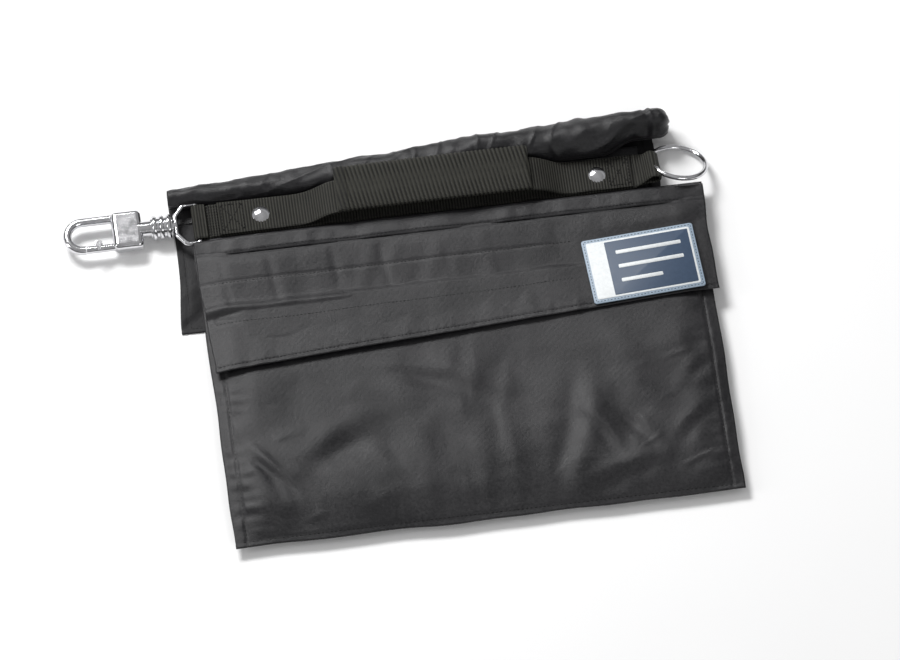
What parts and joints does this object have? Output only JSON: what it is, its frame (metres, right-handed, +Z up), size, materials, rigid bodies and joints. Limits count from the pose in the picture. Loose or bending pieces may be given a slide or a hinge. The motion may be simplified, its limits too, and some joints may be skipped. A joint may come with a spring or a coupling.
{
  "type": "saddle sandbag",
  "caption": "Flat nylon saddle sandbag with two flapped pouches, a webbing spine with carrying grip, a swivel snap hook and an accessory ring.",
  "frame": {"origin": "centre of the resting footprint, on the floor, with the rear pouch folded under the front one", "axes": "+X along the webbing spine from the snap hook to the ring, +Y from the front pouch to the spine, +Z up"},
  "size_m": [0.5126, 0.336, 0.033],
  "materials": {
    "black_nylon": "satin coated pack cloth",
    "black_webbing": "ribbed woven webbing",
    "closure_tape": "hook-and-loop pile",
    "dry_sand": "loose grains",
    "polished_chrome": "polished",
    "spring_steel": "drawn wire",
    "label_vinyl": "clear welded rim",
    "label_print": "printed vinyl"
  },
  "bodies": {
    "spine": {"bridge_panel": "black_nylon", "base_webbing": "black_webbing", "left_end_loop": "black_webbing", "right_end_loop": "black_webbing", "left_handle_tab": "black_webbing", "right_handle_tab": "black_webbing", "rivet_caps": "polished_chrome", "rivet_backs": "polished_chrome", "top_roll": "black_nylon"},
    "handle": {"handle_webbing": "black_webbing", "grip_sleeve": "black_webbing"},
    "front_pouch": {"front_inner_panel": "black_nylon", "front_outer_panel": "black_nylon", "front_sand_fill": "dry_sand", "front_loop_tape": "closure_tape", "front_flap_yoke": "black_nylon"},
    "front_flap": {"front_flap_panel": "black_nylon", "front_hook_tapes": "closure_tape", "label_backing": "label_vinyl", "label_face": "label_print"},
    "rear_pouch": {"rear_outer_panel": "black_nylon", "rear_inner_panel": "black_nylon", "rear_sand_fill": "dry_sand", "rear_loop_tape": "closure_tape", "rear_flap_yoke": "black_nylon"},
    "rear_flap": {"rear_flap_panel": "black_nylon", "rear_hook_tapes": "closure_tape"},
    "snap_eye": {"snap_eye": "polished_chrome"},
    "snap_hook": {"snap_hook_body": "polished_chrome", "bolt_spring": "spring_steel"},
    "snap_bolt": {"snap_bolt": "polished_chrome"},
    "ring": {"accessory_ring": "polished_chrome"}
  },
  "joints": [
    {"name": "front_pouch_lift", "type": "hinge", "parent": "spine", "child": "front_pouch", "pos_m": [0.04472, 0.1, 0.0205], "axis": [1, 0, 0], "range_deg": [-90, 0]},
    {"name": "front_flap_open", "type": "hinge", "parent": "front_pouch", "child": "front_flap", "pos_m": [0.04472, 0.067, 0.01925], "axis": [-1, 0, 0], "range_deg": [0, 150]},
    {"name": "rear_pouch_fold", "type": "hinge", "parent": "spine", "child": "rear_pouch", "pos_m": [0.04472, 0.156, 0.0043], "axis": [1, 0, 0], "range_deg": [0, 179.8]},
    {"name": "rear_flap_open", "type": "hinge", "parent": "rear_pouch", "child": "rear_flap", "pos_m": [0.04472, 0.121, -0.00005], "axis": [1, 0, 0], "range_deg": [0, 110]},
    {"name": "handle_lift", "type": "slide", "parent": "spine", "child": "handle", "axis": [0, 0, -1], "range_m": [-0.015, 0]},
    {"name": "snap_eye_swing", "type": "hinge", "parent": "spine", "child": "snap_eye", "pos_m": [-0.14928, 0.12, 0.0102], "axis": [0, -1, 0], "range_deg": [-100, 0]},
    {"name": "snap_swivel", "type": "hinge", "parent": "snap_eye", "child": "snap_hook", "pos_m": [-0.16928, 0.12, 0.0102], "axis": [1, 0, 0], "continuous": true},
    {"name": "snap_bolt_pull", "type": "slide", "parent": "snap_hook", "child": "snap_bolt", "axis": [1, 0, 0], "range_m": [0, 0.008], "stiffness_N_per_m": 300, "springref_m": -0.004, "deforming": ["bolt_spring"]},
    {"name": "ring_swing", "type": "hinge", "parent": "spine", "child": "ring", "pos_m": [0.21112, 0.12, 0.0173], "axis": [0, 1, 0], "range_deg": [-60, 0]}
  ]
}
